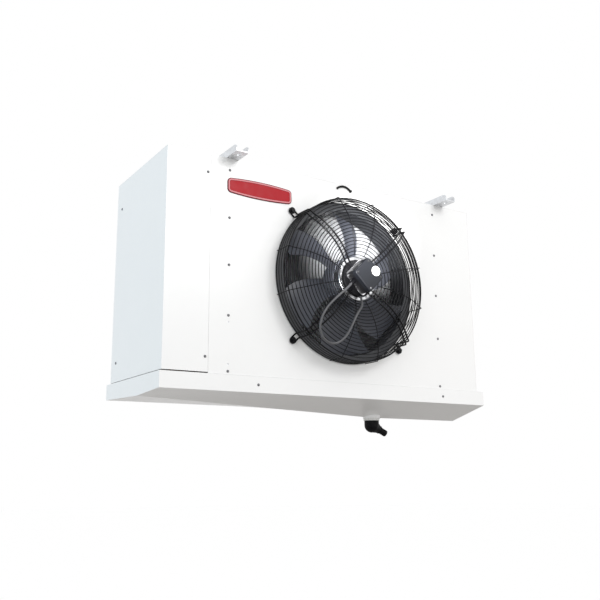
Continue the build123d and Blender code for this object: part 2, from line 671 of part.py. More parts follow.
# Cable gland on the box's lower left side, and the outlet at the bottom of the motor flange
GLAND_DEPTH = BOX_SEAM - GLAND_BACK
DIAGONAL = Vector(1, 0, 1).normalized()
ACROSS = Vector(1, 0, -1).normalized()
GLAND_SEAT = (Vector(0, FRONT - GLAND_DEPTH, FAN_Z) - DIAGONAL * (BOX_A / 2) - ACROSS * GLAND_ALONG)
with BuildPart() as box_gland:
    with BuildSketch(Plane(origin=GLAND_SEAT, z_dir=-DIAGONAL)):
        RegularPolygon(GLAND_R, 6)
    extrude(amount=GLAND_HEX_LONG)
    with BuildSketch(Plane(origin=GLAND_SEAT, z_dir=-DIAGONAL)):
        Circle(GLAND_NECK_R)
    extrude(amount=GLAND_LONG)
    fillet(box_gland.faces().filter_by(GeomType.PLANE).sort_by(Axis(GLAND_SEAT, -DIAGONAL))[-1].edges(),
           GLAND_ROUND)
save(box_gland, "box_gland")

# Angled cable outlet on the motor flange, below the terminal box
OUTLET_TURN = radians(OUTLET_TILT)
OUTLET_AXIS = Vector(0, -sin(OUTLET_TURN), -cos(OUTLET_TURN))
OUTLET_MOUTH = Vector(0, FRONT - OUTLET_DEPTH, FAN_Z - OUTLET_DOWN)
OUTLET_LONG_CUT = (OUTLET_DEPTH - FLANGE_FRONT) / sin(OUTLET_TURN) + OUTLET_RADIUS
with BuildPart() as motor_outlet:
    with BuildSketch(Plane(origin=OUTLET_MOUTH, z_dir=-OUTLET_AXIS)):
        Circle(OUTLET_RADIUS)
    extrude(amount=OUTLET_LONG_CUT)
    with BuildSketch(fan_facing(FLANGE_FRONT + SEAT)):
        Circle(OUTLET_DOWN + 2 * OUTLET_RADIUS)
    extrude(amount=OUTLET_DEPTH, mode=Mode.INTERSECT)
save(motor_outlet, "motor_outlet")

# Wire guard: a dish of rings, with single wires and four double arms that also carry the motor
DISH_FALL = (DISH_DEPTH - RIM_DEPTH) / (GUARD_R - DISH_R) ** 2
RING_STEP = (GUARD_R - RING_FIRST_R) / (RING_COUNT - 1)


def dish(radius):
    """Depth of the ring wires in front of the fan plate."""
    return DISH_DEPTH - DISH_FALL * (radius - DISH_R) ** 2


def wire_ring(radius, depth, wire):
    """A ring of square wire as a many-sided loop, with corners where the inner wires cross."""
    sides = INNER_SIDES if radius < DISH_R else OUTER_SIDES
    with BuildSketch(fan_facing(depth - wire / 2)) as ring:
        RegularPolygon(radius + wire / 2, sides)
        RegularPolygon(radius - wire / 2, sides, mode=Mode.SUBTRACT)
    return ring.sketch


with BuildPart() as guard_rings:
    for count in range(RING_COUNT - 1):
        ring_r = RING_FIRST_R + count * RING_STEP
        extrude(wire_ring(ring_r, dish(ring_r), WIRE), amount=WIRE)
    extrude(wire_ring(GUARD_R, RIM_DEPTH, RIM_WIRE), amount=RIM_WIRE)
save(guard_rings, "guard_rings")

with BuildPart() as guard_side_rings:
    side_r = GUARD_R + (RIM_WIRE - WIRE) / 2
    for count in range(1, SIDE_RINGS + 1):
        extrude(wire_ring(side_r, RIM_DEPTH - count * SIDE_STEP, WIRE), amount=WIRE)
save(guard_side_rings, "guard_side_rings")

SIDE_R = GUARD_R + RIM_WIRE / 2 + WIRE_SEAT


def over_rings(along, beside, lift):
    """Point of a wire that lies across the rings; beside is its distance from the fan's axis plane."""
    radius = hypot(along, beside)
    slope = 2 * DISH_FALL * abs(radius - DISH_R)
    return along, dish(radius) + (WIRE / 2 + lift) * sqrt(1 + slope ** 2) + WIRE_SEAT


def wire_edge(first_r, beside, lift):
    """One edge of a guard wire: out over the rings, round the rim and back to the fan plate."""
    last_r = GUARD_R - RING_STEP
    spots = [over_rings(first_r + (last_r - first_r) * i / WIRE_SPOTS, beside, lift)
             for i in range(WIRE_SPOTS + 1)]
    Spline(*spots)
    corner = (SIDE_R + lift, RIM_DEPTH + RIM_WIRE + lift)
    FilletPolyline(spots[-1], corner, (corner[0], SEAT), radius=RIM_ROUND + lift)
    return spots[0]


def wire_ribbon(angle, beside, wire, first_r, seat=0, tail=None):
    """Square wire in a plane along the fan's axis, at an angle round it; tail is its inner end."""
    turn = radians(angle)
    place = Plane(origin=(0, FRONT, FAN_Z), x_dir=(cos(turn), 0, sin(turn)),
                  z_dir=(sin(turn), 0, -cos(turn))).offset(beside - wire / 2)
    with BuildSketch(place) as ribbon:
        with BuildLine():
            inner = wire_edge(first_r, beside, seat)
            outer = wire_edge(first_r, beside, seat + wire)
            if tail is None:
                Line(inner, outer)
            else:
                depth, end_r, bend_r = tail
                Polyline(inner, (bend_r, depth), (end_r, depth), (end_r, depth + wire),
                         (bend_r - wire / 2, depth + wire), outer)
            Line((SIDE_R + seat, SEAT), (SIDE_R + seat + wire, SEAT))
        make_face()
    return ribbon.sketch


with BuildPart() as guard_wires:
    for angle in WIRE_ANGLES:
        extrude(wire_ribbon(angle, 0, WIRE, RING_FIRST_R - WIRE / 2), amount=WIRE)
save(guard_wires, "guard_wires")

# Arms: pairs of thicker wires, flat on the motor flange inside, joined round the foot bolts outside
ARM_FIRST_R = RING_FIRST_R - ARM_WIRE / 2
ARM_TAIL = (FLANGE_FRONT + SEAT, CLAMP_R - ARM_SPREAD, CLAMP_R + CLAMP_WASHER_R + ARM_WIRE / 2 + SEAT)
with BuildPart() as guard_arms:
    for angle in ARM_ANGLES:
        turn = radians(angle)
        for side in (-1, 1):
            arm = wire_ribbon(angle, side * ARM_SPREAD, ARM_WIRE, ARM_FIRST_R, ARM_SEAT, ARM_TAIL)
            extrude(arm, amount=ARM_WIRE)
        foot_plane = Plane(origin=(0, FRONT - SEAT, FAN_Z), x_dir=(cos(turn), 0, sin(turn)),
                           z_dir=(0, -1, 0))
        outside = (ARM_SPREAD + ARM_WIRE / 2, Mode.ADD)
        inside = (ARM_SPREAD - ARM_WIRE / 2, Mode.SUBTRACT)
        with BuildSketch(foot_plane) as foot:
            for reach, mode in (outside, inside):
                span(SIDE_R + ARM_SEAT, FOOT_R, -reach, reach, mode=mode)
                with Locations((FOOT_R, 0)):
                    Circle(reach, mode=mode)
        extrude(foot.sketch, amount=ARM_WIRE)
save(guard_arms, "guard_arms")

# Foot bolts of the arms, with their washers
FOOT_TOP = SEAT + ARM_WIRE
with BuildPart() as guard_bolts:
    with BuildSketch(fan_facing(FOOT_TOP)):
        with PolarLocations(FOOT_R, 4, start_angle=45):
            Circle(WASHER_R)
    extrude(amount=WASHER_T)
    with BuildSketch(fan_facing(FOOT_TOP + WASHER_T)):
        with PolarLocations(FOOT_R, 4, start_angle=45):
            RegularPolygon(GUARD_NUT_R, 6)
    extrude(amount=GUARD_NUT_T)
    with BuildSketch(fan_facing(FOOT_TOP)):
        with PolarLocations(FOOT_R, 4, start_angle=45):
            Circle(GUARD_BOLT_R)
    extrude(amount=-FOOT_TOP - SHANK_LONG)
save(guard_bolts, "guard_bolts")

# Round clamp bolts that hold the arms on the motor flange
CLAMP_TOP = FLANGE_FRONT + SEAT + ARM_WIRE
with BuildPart() as clamp_bolts:
    with BuildSketch(fan_facing(CLAMP_TOP)):
        with PolarLocations(CLAMP_R, 4, start_angle=45):
            Circle(CLAMP_WASHER_R)
    extrude(amount=WASHER_T)
    with BuildSketch(fan_facing(CLAMP_TOP + WASHER_T)):
        with PolarLocations(CLAMP_R, 4, start_angle=45):
            Circle(CLAMP_HEAD_R)
    extrude(amount=CLAMP_HEAD_T)
    with BuildSketch(fan_facing(CLAMP_TOP)):
        with PolarLocations(CLAMP_R, 4, start_angle=45):
            Circle(GUARD_BOLT_R)
    extrude(amount=-ARM_WIRE - SEAT)
save(clamp_bolts, "clamp_bolts")

# Rubber trim that closes the cable slot
with BuildPart() as slot_trim:
    extrude(slot_band(0, TRIM_W), amount=TRIM_OUT)
    extrude(slot_band(0, SLOT_W), amount=-SHEET - TRIM_OUT)
    knob_turn = radians(90 - SLOT_HALF_ANGLE)
    with BuildSketch(fan_facing(0)):
        with Locations((SLOT_X + SLOT_R * cos(knob_turn), SLOT_UP + SLOT_R * sin(knob_turn))):
            Circle(TRIM_KNOB_R)
    extrude(amount=TRIM_OUT + TRIM_KNOB_R / 2)
save(slot_trim, "slot_trim")


def disc(place, radius):
    """A round face on a plane."""
    with BuildSketch(place) as face:
        Circle(radius)
    return face.sketch


def screw_places():
    """Planes of the screws on the casing: both columns of the fan plate."""
    return [Plane(origin=(x, FRONT, PAN_EDGE + z), z_dir=(0, -1, 0))
            for x in (SCREW_LEFT_X, SCREW_RIGHT_X) for z in PANEL_SCREW_Z]


with BuildPart() as panel_screws:
    for place in screw_places():
        extrude(disc(place, SCREW_R), amount=SCREW_T)
        extrude(disc(place, SHANK_R), amount=-SHANK_LONG)
save(panel_screws, "panel_screws")

with BuildPart() as cover_screws:
    for z in COVER_SCREW_Z:
        place = Plane(origin=(COVER_SCREW_X, FRONT, PAN_EDGE + z), z_dir=(0, -1, 0))
        extrude(disc(place, SCREW_R), amount=SCREW_T)
        extrude(disc(place, SHANK_R), amount=-SHANK_LONG)
    for z in SIDE_SCREW_Z:
        place = Plane(origin=(LEFT, SIDE_SCREW_Y, PAN_EDGE + z), z_dir=(-1, 0, 0))
        extrude(disc(place, SCREW_R), amount=SCREW_T)
        extrude(disc(place, SHANK_R), amount=-SHANK_LONG)
save(cover_screws, "cover_screws")

# Suction header behind the left end cover: a smaller stub stands out of its rear end
SUCTION_END = Plane(origin=(STUB_X, STUB_END, SUCTION_Z), z_dir=(0, -1, 0))
with BuildPart() as suction_header:
    extrude(disc(SUCTION_END, SUCTION_R), amount=STUB_END - STUB_START)
    extrude(disc(SUCTION_END.offset(STUB_END - STUB_START), HEADER_R), amount=STUB_START - COIL_Y0)
    for row in range(TUBE_ROWS):
        y, z = tube_place(row, 0)
        extrude(disc(Plane(origin=(STUB_X, y, z), z_dir=(1, 0, 0)), TUBE_R),
                amount=PLATE_LEFT - SEAT - STUB_X)
    extrude(disc(SUCTION_END, SUCTION_R - PIPE_WALL), amount=STUB_BORE, mode=Mode.SUBTRACT)
save(suction_header, "suction_header")

# Liquid stub, distributor and one feeder tube to each row of the coil
DISTRIBUTOR_LOW = LIQUID_Z + LIQUID_RISE
DISTRIBUTOR_TOP = DISTRIBUTOR_LOW + DISTRIBUTOR_LONG
LIQUID_END = Plane(origin=(STUB_X, STUB_END, LIQUID_Z), z_dir=(0, -1, 0))
with BuildPart() as liquid_distributor:
    with BuildLine() as route:
        pipe = FilletPolyline((STUB_X, STUB_START, LIQUID_Z), (STUB_X, COIL_MID_Y, LIQUID_Z),
                              (STUB_X, COIL_MID_Y, DISTRIBUTOR_LOW), radius=LIQUID_BEND_R)
    with BuildSketch(Plane(origin=pipe @ 0, z_dir=pipe % 0)):
        Circle(LIQUID_PIPE_R)
    sweep(path=route.line)
    with BuildSketch(Plane(origin=(STUB_X, COIL_MID_Y, DISTRIBUTOR_LOW), x_dir=(1, 0, 0), z_dir=(0, -1, 0))):
        with BuildLine():
            Polyline((0, 0), (LIQUID_R + PIPE_WALL, 0), (DISTRIBUTOR_R, DISTRIBUTOR_LONG / 2),
                     (DISTRIBUTOR_R, DISTRIBUTOR_LONG), (0, DISTRIBUTOR_LONG), close=True)
        make_face()
    revolve(axis=Axis((STUB_X, COIL_MID_Y, DISTRIBUTOR_LOW), (0, 0, 1)))
    extrude(disc(LIQUID_END, LIQUID_R), amount=STUB_END - STUB_START)
    extrude(disc(LIQUID_END, LIQUID_R - PIPE_WALL), amount=STUB_BORE, mode=Mode.SUBTRACT)
save(liquid_distributor, "liquid_distributor")

with BuildPart() as feeder_tubes:
    for row in range(TUBE_ROWS):
        y, z = tube_place(row, TUBES_HIGH - 1)
        start_y = COIL_MID_Y + (row - 1) * (2 * FEEDER_R + SEAT)
        with BuildLine() as route:
            feeder = FilletPolyline((STUB_X, start_y, DISTRIBUTOR_TOP + FEEDER_SEAT), (STUB_X, y, z),
                                    (PLATE_LEFT - SEAT, y, z), radius=FEEDER_BEND_R)
        with BuildSketch(Plane(origin=feeder @ 0, z_dir=feeder % 0)):
            Circle(FEEDER_R)
        sweep(path=route.line)
save(feeder_tubes, "feeder_tubes")


# Drain pan: folded sheet with a low line that falls to the drain
def pan_section(x, drop, inset):
    """Outline of the pan across its length; inset is the sheet for the inside."""
    y0 = PAN_Y0 + inset
    y1 = PAN_Y1 - inset
    top = PAN_TOP + inset
    edge = PAN_EDGE + inset
    with BuildSketch(upright(x)) as outline:
        with BuildLine():
            Polyline((y0, top), (y0, edge), (LOW_Y, edge - drop), (y1, edge), (y1, top), close=True)
        make_face()
    return outline.sketch


def pan_solid(inset):
    """Trough from the left end, over the drain, to the right end."""
    return loft([pan_section(PAN_X0 + inset, PAN_DROP_LEFT, inset), pan_section(DRAIN_X, PAN_DROP, inset),
                 pan_section(PAN_X1 - inset, PAN_DROP, inset)], ruled=True)


with BuildPart() as drain_pan:
    add(pan_solid(0))
    extrude(disc(Plane(origin=(DRAIN_X, LOW_Y, SUMP_Z)), SUMP_R), amount=PAN_DROP / 2)
    add(pan_solid(PAN_T), mode=Mode.SUBTRACT)
    extrude(disc(Plane(origin=(DRAIN_X, LOW_Y, SUMP_Z + PAN_T)), SUMP_R - PAN_T), amount=PAN_DROP / 2,
            mode=Mode.SUBTRACT)
    extrude(disc(Plane(origin=(DRAIN_X, LOW_Y, SUMP_Z)), SPIGOT_R + SEAT), amount=PAN_T, mode=Mode.SUBTRACT)
    for x in LIP_SCREW_X:
        place = Plane(origin=(x, PAN_Y0, PAN_EDGE + LIP_SCREW_UP), z_dir=(0, 1, 0))
        extrude(disc(place, SHANK_R + SEAT), amount=PAN_T, mode=Mode.SUBTRACT)
save(drain_pan, "drain_pan")

# Clips under the casing that the pan's front lip is screwed to
CLIP_Y0 = PAN_Y0 + PAN_T + CLIP_GAP
with BuildPart() as pan_clips:
    for x in LIP_SCREW_X:
        x0 = x - CLIP_W / 2
        x1 = x + CLIP_W / 2
        slab(x0, x1, CLIP_Y0, CLIP_Y0 + CLIP_T, PAN_EDGE + LIP_SCREW_UP - CLIP_BELOW, BOTTOM)
        slab(x0, x1, CLIP_Y0, CLIP_Y0 + LIP, BOTTOM - CLIP_T, BOTTOM)
        place = Plane(origin=(x, CLIP_Y0, PAN_EDGE + LIP_SCREW_UP), z_dir=(0, 1, 0))
        extrude(disc(place, SHANK_R + SEAT), amount=CLIP_T, mode=Mode.SUBTRACT)
save(pan_clips, "pan_clips")

with BuildPart() as lip_screws:
    for x in LIP_SCREW_X:
        place = Plane(origin=(x, PAN_Y0, PAN_EDGE + LIP_SCREW_UP), z_dir=(0, -1, 0))
        extrude(disc(place, SCREW_R), amount=SCREW_T)
        extrude(disc(place, SHANK_R), amount=-SHANK_LONG)
save(lip_screws, "lip_screws")

# Pan hinge: knuckles on the casing's rear rail, ears on the pan's rear lip, and a pin through both
KNUCKLE_Y0 = BACK - SHEET
LEG_TOP = BOTTOM + LIP
with BuildPart() as hinge_knuckles:
    for x in (-HINGE_X, HINGE_X):
        with BuildSketch(upright(x - HINGE_BARREL / 2)):
            span(KNUCKLE_Y0, KNUCKLE_Y0 + HINGE_T, BOTTOM + HINGE_RAISE, LEG_TOP)
            span(KNUCKLE_Y0, HINGE_Y + HINGE_R, BOTTOM + HINGE_RAISE, BOTTOM + HINGE_RAISE + HINGE_T)
            span(HINGE_Y + HINGE_R - HINGE_T, HINGE_Y + HINGE_R, HINGE_Z, BOTTOM + HINGE_RAISE)
            with Locations((HINGE_Y, HINGE_Z)):
                Circle(HINGE_R)
                Circle(HINGE_PIN_R + RUN_GAP, mode=Mode.SUBTRACT)
        extrude(amount=HINGE_BARREL)
save(hinge_knuckles, "hinge_knuckles")

EAR_X = HINGE_BARREL / 2 + HINGE_SIDE_GAP
with BuildPart() as pan_ears:
    for x in (-HINGE_X - EAR_X - EAR_T, -HINGE_X + EAR_X, HINGE_X - EAR_X - EAR_T, HINGE_X + EAR_X):
        with BuildSketch(upright(x)):
            span(PAN_Y1 + SEAT, HINGE_Y, HINGE_Z - HINGE_R, HINGE_Z + HINGE_R)
            with Locations((HINGE_Y, HINGE_Z)):
                Circle(HINGE_R)
                Circle(HINGE_PIN_R + RUN_GAP, mode=Mode.SUBTRACT)
        extrude(amount=EAR_T)
        slab(x, x + EAR_T, PAN_Y1 + SEAT, PAN_Y1 + SEAT + EAR_FOOT_T, HINGE_Z - EAR_FOOT, HINGE_Z + HINGE_R)
save(pan_ears, "pan_ears")

PIN_HALF = EAR_X + EAR_T + HINGE_PIN_R
with BuildPart() as hinge_pins:
    for x in (-HINGE_X, HINGE_X):
        extrude(disc(Plane(origin=(x - PIN_HALF, HINGE_Y, HINGE_Z), z_dir=(1, 0, 0)), HINGE_PIN_R),
                amount=2 * PIN_HALF)
save(hinge_pins, "hinge_pins")

# Drain spigot through the sump, ring nut under it, and the push-on elbow
NUT_TOP = SUMP_Z - SEAT
ELBOW_TOP = NUT_TOP - NUT_T - SWIVEL_GAP
SPIGOT_END = Plane(origin=(DRAIN_X, LOW_Y, SUMP_Z - SPIGOT_LONG))
SPIGOT_SEAT = Plane(origin=(DRAIN_X, LOW_Y, SUMP_Z + PAN_T + SEAT))
with BuildPart() as drain_spigot:
    extrude(disc(SPIGOT_SEAT, SUMP_R - PAN_T - SUMP_CLEAR), amount=SPIGOT_WALL)
    extrude(disc(SPIGOT_END, SPIGOT_R), amount=SPIGOT_LONG + PAN_T + SEAT)
    extrude(disc(SPIGOT_END, SPIGOT_R - SPIGOT_WALL), amount=2 * SPIGOT_LONG, mode=Mode.SUBTRACT)
save(drain_spigot, "drain_spigot")

with BuildPart() as drain_nut:
    with BuildSketch(Plane(origin=(DRAIN_X, LOW_Y, NUT_TOP - NUT_T))):
        Circle(NUT_R)
        with PolarLocations(NUT_R, NUT_GRIPS):
            Circle(NUT_GRIP_R, mode=Mode.SUBTRACT)
        Circle(SPIGOT_R + SEAT, mode=Mode.SUBTRACT)
    extrude(amount=NUT_T)
save(drain_nut, "drain_nut")

ELBOW_LEAN = radians(ELBOW_TURN)
ELBOW_AXIS = Vector(sin(ELBOW_LEAN), 0, -cos(ELBOW_LEAN))
ELBOW_HEART = Vector(DRAIN_X, LOW_Y, ELBOW_TOP - ELBOW_SOCKET)


def along_elbow(distance):
    """Plane square to the elbow's outlet, at a distance from the middle of its bend."""
    return Plane(origin=ELBOW_HEART + ELBOW_AXIS * distance, x_dir=(0, 1, 0), z_dir=ELBOW_AXIS)


with BuildPart() as drain_elbow:
    extrude(disc(Plane(origin=ELBOW_HEART), ELBOW_R), amount=ELBOW_SOCKET)
    with Locations(ELBOW_HEART):
        Sphere(ELBOW_R)
    loft([disc(along_elbow(TAPER_START), ELBOW_R - ELBOW_WALL / 2),
          disc(along_elbow(ELBOW_TAPER), OUTLET_COLLAR_R)])
    extrude(disc(along_elbow(ELBOW_TAPER), OUTLET_COLLAR_R), amount=COLLAR_LONG)
    extrude(disc(along_elbow(ELBOW_TAPER + COLLAR_LONG), OUTLET_R), amount=OUTLET_LONG)
    mouth = Plane(origin=(DRAIN_X, LOW_Y, ELBOW_TOP))
    extrude(disc(mouth, 2 * ELBOW_R), amount=ELBOW_R, mode=Mode.SUBTRACT)
    extrude(disc(mouth, SPIGOT_R + RUN_GAP), amount=-ELBOW_SOCKET - SPIGOT_R / 2, mode=Mode.SUBTRACT)
    extrude(disc(along_elbow(0), OUTLET_R - ELBOW_WALL), amount=ELBOW_TAPER + COLLAR_LONG + OUTLET_LONG,
            mode=Mode.SUBTRACT)
save(drain_elbow, "drain_elbow")

# Motor cable, laid over the guard from the gland to the outlet: across, depth and height from the fan's axis
GLAND_TIP = GLAND_SEAT - DIAGONAL * GLAND_LONG
CABLE_SPOTS = [(-62, 95, -42), (-104, 103, -73), (-152, 105, -118), (-172, 104, -166), (-158, 97, -200),
               (-117, 93, -216), (-82, 98, -198), (-58, 104, -158), (-39, 104, -120), (-3, 90, -85)]
cable_route = [tuple(GLAND_TIP - DIAGONAL * CABLE_END_GAP)]
cable_route += [(x, FRONT - depth, FAN_Z + z) for x, depth, z in CABLE_SPOTS]
cable_route.append(tuple(OUTLET_MOUTH + OUTLET_AXIS * CABLE_END_GAP))


def cord_line(points):
    """Straight runs joined by tangent bends; prints the bends for the record."""
    bends = []
    for before, here, after in zip(points, points[1:], points[2:]):
        back = Vector(*before) - Vector(*here)
        on = Vector(*after) - Vector(*here)
        half_turn = radians(180 - back.get_angle(on)) / 2
        bends.append(BEND_SHARE * min(back.length, on.length) / tan(half_turn))
    print("cable bends:", [round(bend, 1) for bend in bends])
    return FilletPolyline(*points, radius=bends)


with BuildPart() as motor_cable:
    with BuildLine() as cable_line:
        cable = cord_line(cable_route)
    with BuildSketch(Plane(origin=cable @ 0, z_dir=cable % 0)):
        Circle(CABLE_R)
    sweep(path=cable_line.line)
save(motor_cable, "motor_cable")
print("cable length:", round(cable.length, 1), "volume:", round(motor_cable.part.volume, 1),
      "section by length:", round(cable.length * pi * CABLE_R ** 2, 1))
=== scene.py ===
"""Ceiling-hung unit cooler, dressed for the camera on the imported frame. Metres, in the frame's axes."""
from math import atan, cos, hypot, pi, radians, sin, sqrt

import bmesh
import bpy
from mathutils import Matrix, Vector


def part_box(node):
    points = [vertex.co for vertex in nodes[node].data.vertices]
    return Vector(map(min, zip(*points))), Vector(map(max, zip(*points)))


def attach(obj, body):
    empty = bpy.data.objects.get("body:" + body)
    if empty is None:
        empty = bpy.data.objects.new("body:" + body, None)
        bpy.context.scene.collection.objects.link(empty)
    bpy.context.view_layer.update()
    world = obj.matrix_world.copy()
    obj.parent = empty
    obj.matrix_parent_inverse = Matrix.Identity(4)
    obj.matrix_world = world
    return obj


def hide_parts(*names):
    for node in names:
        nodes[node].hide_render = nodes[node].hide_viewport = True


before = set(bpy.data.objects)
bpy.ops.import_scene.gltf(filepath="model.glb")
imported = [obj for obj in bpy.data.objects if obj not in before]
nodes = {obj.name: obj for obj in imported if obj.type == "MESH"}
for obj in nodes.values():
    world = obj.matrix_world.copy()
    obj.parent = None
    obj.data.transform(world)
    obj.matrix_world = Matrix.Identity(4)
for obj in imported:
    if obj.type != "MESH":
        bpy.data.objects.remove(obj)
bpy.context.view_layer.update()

MM = 0.001
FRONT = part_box("fan_plate")[0].y    # face of the fan plate
ring_low, ring_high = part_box("guard_rings")
FAN = (ring_low + ring_high) / 2
FAN_X = FAN.x
FAN_Z = FAN.z


# Camera at the photograph's place

CAMERA_AT = Vector((-1.3986, -2.1051, -0.9020))
CAMERA_LOOK = Vector((0.527815, 0.820927, 0.217922))
CAMERA_ROLL = radians(-0.510)
CAMERA_LENS = 47.73
CAMERA_SENSOR = 36.0
CAMERA_END = 60.0


def add_camera():
    look = CAMERA_LOOK.normalized()
    right = look.cross(Vector((0, 0, 1))).normalized()
    up = right.cross(look)
    turned_right = right * cos(CAMERA_ROLL) + up * sin(CAMERA_ROLL)
    turned_up = up * cos(CAMERA_ROLL) - right * sin(CAMERA_ROLL)
    data = bpy.data.cameras.new("camera")
    data.lens = CAMERA_LENS
    data.sensor_width = CAMERA_SENSOR
    data.clip_end = CAMERA_END
    camera = bpy.data.objects.new("camera", data)
    turn = Matrix((turned_right, turned_up, -look)).transposed().to_4x4()
    camera.matrix_world = Matrix.Translation(CAMERA_AT) @ turn
    bpy.context.collection.objects.link(camera)
    bpy.context.scene.camera = camera


# Materials: scales are those of noise or cell textures, depths are of bumps in metres

SLOW_SCALE = 6.0
FAST_SCALE = 60.0
PAINT_ROUGH_SPREAD = 0.15
COAT_ROUGH = 0.2
SPANGLE_SCALE = 90.0
SPANGLE_GRAIN = 700.0
SPANGLE_DEPTH = 0.00003
SPANGLE_METAL = 0.85
TOOL_SCALE = 40.0
TOOL_DEPTH = 0.00005


def new_material(name):
    material = bpy.data.materials.new(name)
    material.use_nodes = True
    shader = material.node_tree.nodes["Principled BSDF"]
    return material, material.node_tree, shader


def noise(tree, scale, detail=3.0, stretch=(1, 1, 1)):
    """Noise over the object's own coordinates, stretched along its axes."""
    place = tree.nodes.new("ShaderNodeTexCoord")
    mapping = tree.nodes.new("ShaderNodeMapping")
    mapping.inputs["Scale"].default_value = stretch
    texture = tree.nodes.new("ShaderNodeTexNoise")
    texture.inputs["Scale"].default_value = scale
    texture.inputs["Detail"].default_value = detail
    tree.links.new(place.outputs["Object"], mapping.inputs["Vector"])
    tree.links.new(mapping.outputs["Vector"], texture.inputs["Vector"])
    return texture


def ramp(tree, source, low, high, start=0.3, end=0.7):
    """Colour ramp between two colours or two grey values."""
    node = tree.nodes.new("ShaderNodeValToRGB")
    node.color_ramp.elements[0].position = start
    node.color_ramp.elements[1].position = end
    for element, value in zip(node.color_ramp.elements, (low, high)):
        element.color = (*value, 1) if isinstance(value, tuple) else (value, value, value, 1)
    tree.links.new(source, node.inputs["Fac"])
    return node.outputs["Color"]


def bump(tree, shader, source, depth):
    node = tree.nodes.new("ShaderNodeBump")
    node.inputs["Distance"].default_value = depth
    node.inputs["Strength"].default_value = 1.0
    tree.links.new(source, node.inputs["Height"])
    tree.links.new(node.outputs["Normal"], shader.inputs["Normal"])


def shade(colour, factor):
    return tuple(min(1.0, part * factor) for part in colour)


def painted(name, colour, rough, grain=900.0, depth=0.00004, mottle=0.03,
            coat=0.0, metal=0.0, gloss=0.5):
    """Coated or moulded surface: slow mottle in colour, faster in roughness, fine orange-peel bump."""
    material, tree, shader = new_material(name)
    slow = noise(tree, SLOW_SCALE)
    fast = noise(tree, FAST_SCALE)
    fine = noise(tree, grain, 2.0)
    tree.links.new(ramp(tree, slow.outputs["Fac"], shade(colour, 1 - mottle), shade(colour, 1 + mottle)),
                   shader.inputs["Base Color"])
    tree.links.new(ramp(tree, fast.outputs["Fac"], rough * (1 - PAINT_ROUGH_SPREAD),
                        rough * (1 + PAINT_ROUGH_SPREAD)), shader.inputs["Roughness"])
    bump(tree, shader, fine.outputs["Fac"], depth)
    shader.inputs["Coat Weight"].default_value = coat
    shader.inputs["Coat Roughness"].default_value = COAT_ROUGH
    shader.inputs["Metallic"].default_value = metal
    shader.inputs["Specular IOR Level"].default_value = gloss
    return material


def galvanised(name, colour, rough=0.45):
    """Zinc spangle: cells of slightly different grey and gloss."""
    material, tree, shader = new_material(name)
    place = tree.nodes.new("ShaderNodeTexCoord")
    cells = tree.nodes.new("ShaderNodeTexVoronoi")
    cells.inputs["Scale"].default_value = SPANGLE_SCALE
    tree.links.new(place.outputs["Object"], cells.inputs["Vector"])
    grey = tree.nodes.new("ShaderNodeRGBToBW")
    tree.links.new(cells.outputs["Color"], grey.inputs["Color"])
    tree.links.new(ramp(tree, grey.outputs["Val"], shade(colour, 0.88), shade(colour, 1.08), 0.1, 0.9),
                   shader.inputs["Base Color"])
    tree.links.new(ramp(tree, grey.outputs["Val"], rough * 0.8, rough * 1.2, 0.1, 0.9),
                   shader.inputs["Roughness"])
    fine = noise(tree, SPANGLE_GRAIN, 2.0)
    bump(tree, shader, fine.outputs["Fac"], SPANGLE_DEPTH)
    shader.inputs["Metallic"].default_value = SPANGLE_METAL
    return material


def machined(name, colour, rough, stretch, metal=1.0):
    """Bare metal with fine tool lines along one direction."""
    material, tree, shader = new_material(name)
    lines = noise(tree, TOOL_SCALE, 4.0, stretch)
    tree.links.new(ramp(tree, lines.outputs["Fac"], shade(colour, 0.85), shade(colour, 1.1)),
                   shader.inputs["Base Color"])
    tree.links.new(ramp(tree, lines.outputs["Fac"], rough * 0.7, rough * 1.3), shader.inputs["Roughness"])
    bump(tree, shader, lines.outputs["Fac"], TOOL_DEPTH)
    shader.inputs["Metallic"].default_value = metal
    return material


WHITE = (0.86, 0.86, 0.855)
case_paint = painted("case_paint", WHITE, 0.34, grain=500.0, depth=0.000015, mottle=0.008, coat=0.2)
zinc_sheet = galvanised("zinc_sheet", (0.70, 0.71, 0.73))
zinc_rail = galvanised("zinc_rail", (0.74, 0.75, 0.77), 0.4)
zinc_plate = machined("zinc_plate", (0.78, 0.78, 0.80), 0.25, (1, 1, 6))
screw_zinc = machined("screw_zinc", (0.20, 0.20, 0.21), 0.35, (4, 4, 1), 0.8)
fin_aluminium = machined("fin_aluminium", (0.84, 0.845, 0.86), 0.45, (1, 1, 12), 0.5)
rotor_aluminium = machined("rotor_aluminium", (0.80, 0.81, 0.83), 0.28, (2, 30, 2))
shaft_steel = machined("shaft_steel", (0.6, 0.6, 0.62), 0.25, (2, 30, 2))
copper = machined("copper", (0.78, 0.42, 0.27), 0.35, (1, 8, 1))
black_ring = painted("black_ring", (0.045, 0.047, 0.052), 0.42, mottle=0.2, gloss=0.4)
black_motor = painted("black_motor", (0.008, 0.008, 0.009), 0.42, grain=500.0, depth=0.00008,
                      mottle=0.15, gloss=0.2)
blade_paint = painted("blade_paint", (0.075, 0.08, 0.097), 0.36, mottle=0.12)
wire_paint = painted("wire_paint", (0.005, 0.005, 0.006), 0.34, mottle=0.15, gloss=0.15)
box_plastic = painted("box_plastic", (0.008, 0.008, 0.009), 0.4, grain=1400.0, depth=0.00006,
                      mottle=0.1, gloss=0.2)
lid_plastic = painted("lid_plastic", (0.009, 0.010, 0.013), 0.45, grain=1400.0, depth=0.00006,
                      mottle=0.1, gloss=0.3)
cap_plastic = painted("cap_plastic", (0.80, 0.80, 0.78), 0.5, mottle=0.02)
